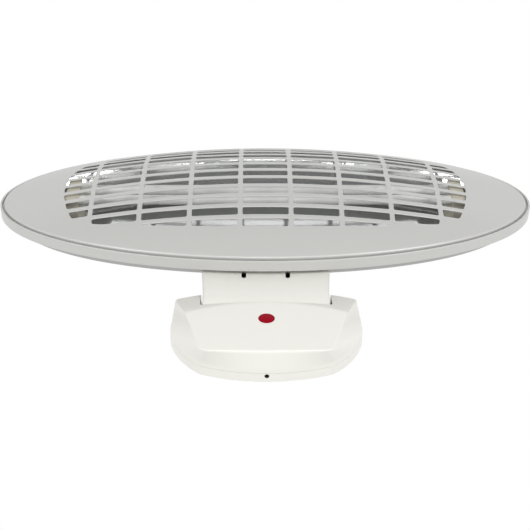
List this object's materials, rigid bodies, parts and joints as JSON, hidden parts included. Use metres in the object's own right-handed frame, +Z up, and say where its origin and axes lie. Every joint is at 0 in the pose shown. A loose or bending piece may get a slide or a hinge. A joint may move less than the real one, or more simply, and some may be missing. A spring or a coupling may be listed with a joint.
{
  "type": "wall-mounted infrared heater",
  "caption": "Oval domed infrared heater head with a slotted grille, on a neck that tilts on a small wall base.",
  "frame": {"origin": "on the wall, in the middle of the wall plate's flat back", "axes": "+X to the right along the head, +Z up the wall, -Y out from the wall"},
  "size_m": [0.52, 0.0796, 0.3395],
  "materials": {
    "silver_paint": "satin",
    "grey_shell": "satin",
    "cream_plastic": "satin",
    "polished_reflector": "polished",
    "milky_quartz": "satin",
    "coil_wire": "dull",
    "ceramic": "matte",
    "steel": "satin",
    "brass": "satin",
    "dark_plastic": "matte",
    "grey_rubber": "matte",
    "red_lens": "gloss",
    "lamp_glass": "clear",
    "wire_sleeve": "matte"
  },
  "bodies": {
    "base": {"wall_plate": "cream_plastic", "base_cover": "cream_plastic", "cover_screws": "steel", "cable_grommet": "grey_rubber", "terminal_block": "dark_plastic", "terminal_sleeves": "brass", "terminal_screws": "steel", "cable_clamp": "dark_plastic", "clamp_screws": "steel", "pull_switch_body": "dark_plastic", "lever_spring": "steel", "cord_outlet_bush": "dark_plastic", "indicator_lens": "red_lens", "indicator_lamp": "lamp_glass", "base_wiring": "wire_sleeve", "hinge_pins": "steel", "pin_clips": "steel", "friction_washers": "grey_rubber"},
    "head": {"front_cover": "silver_paint", "rim_band": "silver_paint", "back_shell": "grey_shell", "reflector": "polished_reflector", "quartz_tube_lower": "milky_quartz", "quartz_tube_upper": "milky_quartz", "heating_coil_lower": "coil_wire", "heating_coil_upper": "coil_wire", "ceramic_holder_left": "ceramic", "ceramic_holder_right": "ceramic", "holder_screws": "steel", "tube_terminals": "steel", "terminal_link": "steel", "thermal_cutout": "steel", "head_wiring": "wire_sleeve", "head_screws": "steel", "neck_front": "cream_plastic", "neck_rear": "cream_plastic", "neck_screws": "steel"},
    "pull_lever": {"pull_switch_lever": "steel"}
  },
  "joints": [
    {"name": "head_tilt", "type": "hinge", "parent": "base", "child": "head", "pos_m": [0, -0.016, 0.03], "axis": [1, 0, 0], "range_deg": [0, 40]},
    {"name": "pull_switch_slide", "type": "slide", "parent": "base", "child": "pull_lever", "axis": [0, 0, -1], "range_m": [0, 0.006], "stiffness_N_per_m": 400, "springref_m": -0.002, "deforming": ["lever_spring"]}
  ]
}
